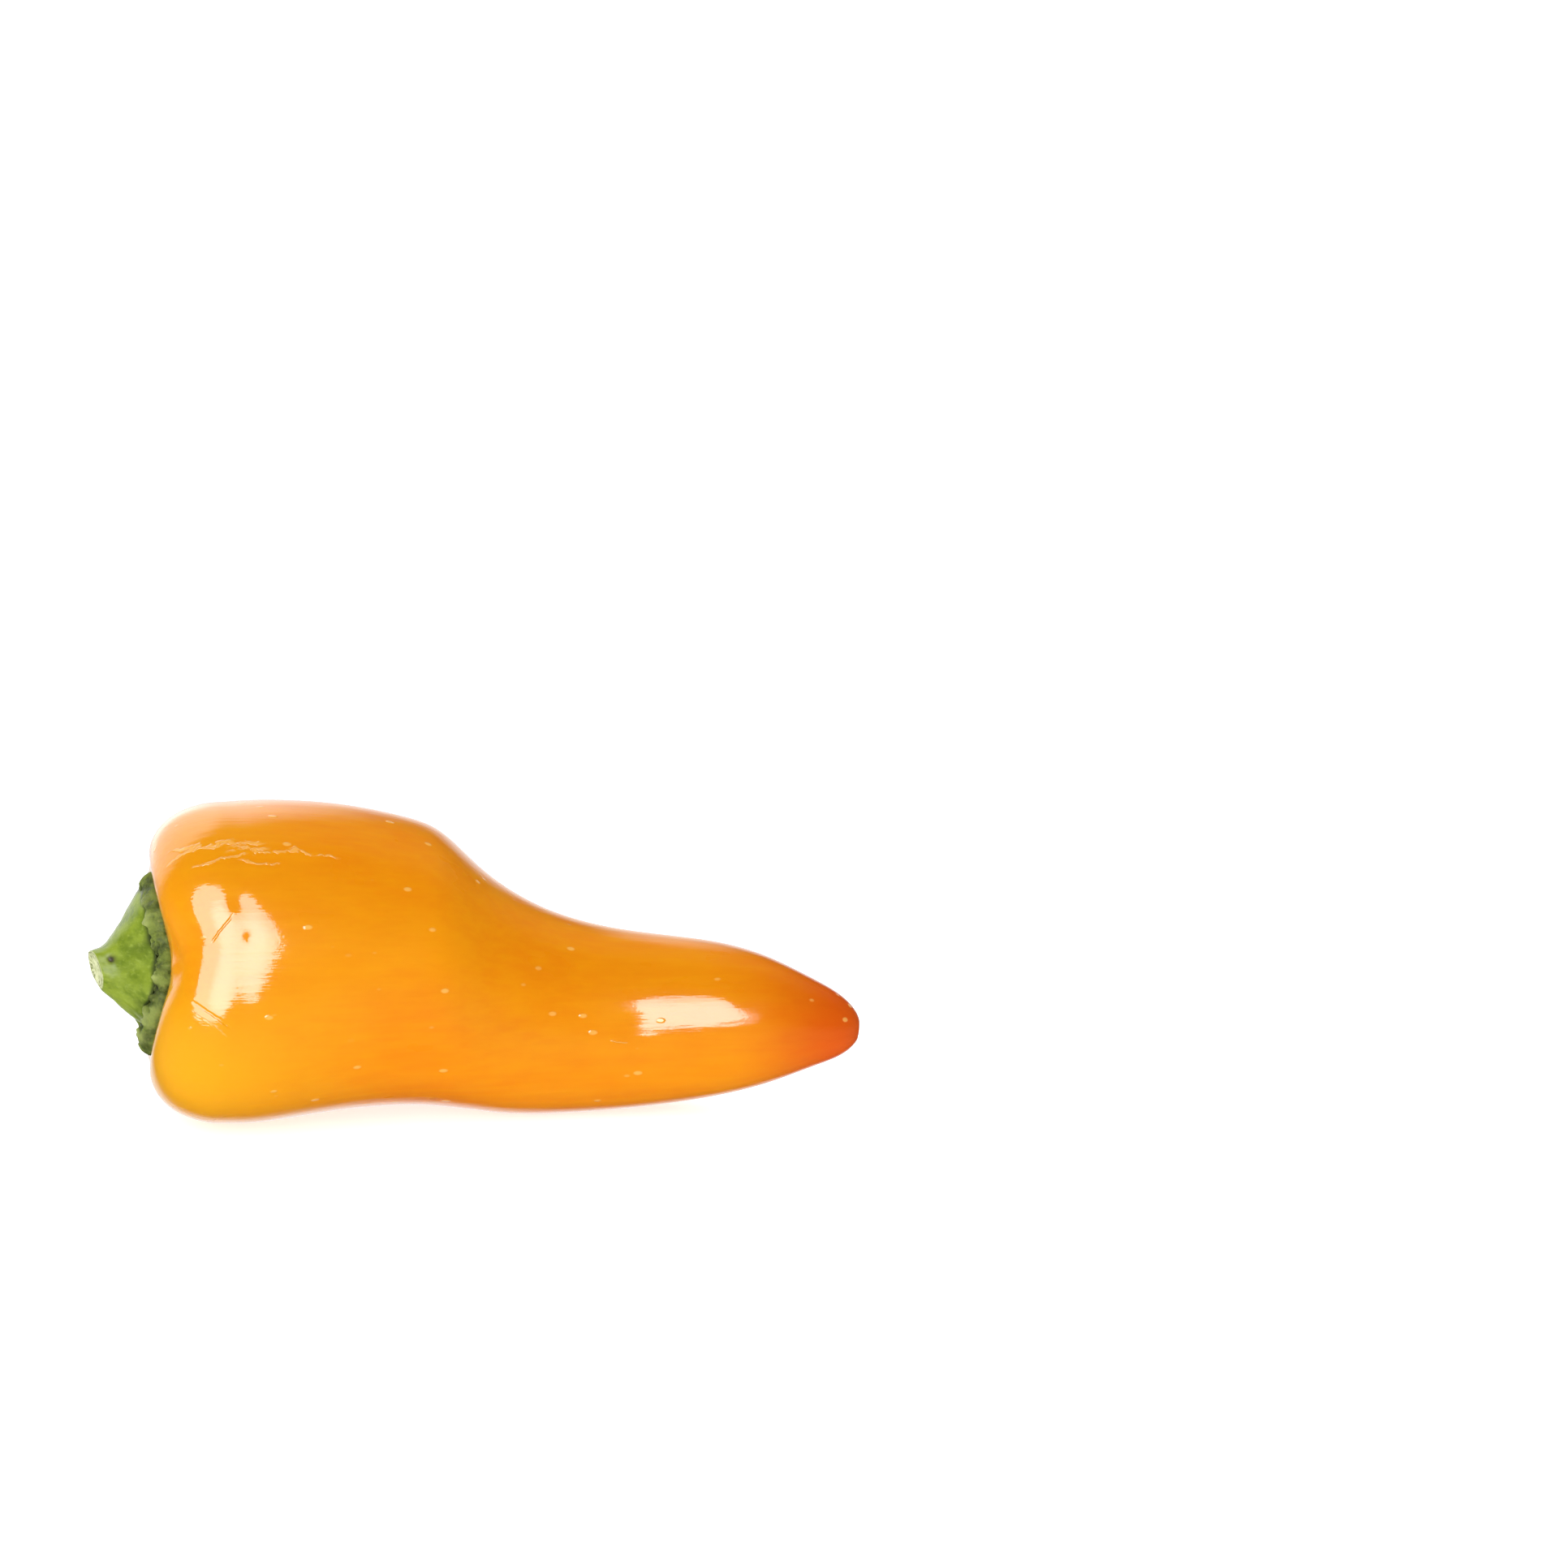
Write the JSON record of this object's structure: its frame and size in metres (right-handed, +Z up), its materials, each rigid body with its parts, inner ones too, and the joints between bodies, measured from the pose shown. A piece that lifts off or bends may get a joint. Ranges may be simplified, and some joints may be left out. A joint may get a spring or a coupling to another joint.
{
  "type": "bell pepper",
  "caption": "Mini sweet bell pepper lying on its side: broad lobed shoulders that narrow to a blunt tip, with a ring-shaped calyx and a short cut stem.",
  "frame": {"origin": "on the resting surface, below the middle of the bounding box", "axes": "+X from the stem to the tip, +Z up as the pepper lies, -Y towards the side with the shown valley between two lobes"},
  "size_m": [0.0944, 0.0394, 0.0393],
  "materials": {
    "fruit_skin": "smooth waxy skin, glossy, bright orange",
    "calyx_green": "rough grey-green plant tissue, dull",
    "stem_green": "green ribbed stalk, satin"
  },
  "bodies": {
    "root": {"fruit": "fruit_skin", "calyx": "calyx_green", "stem": "stem_green"}
  },
  "joints": []
}
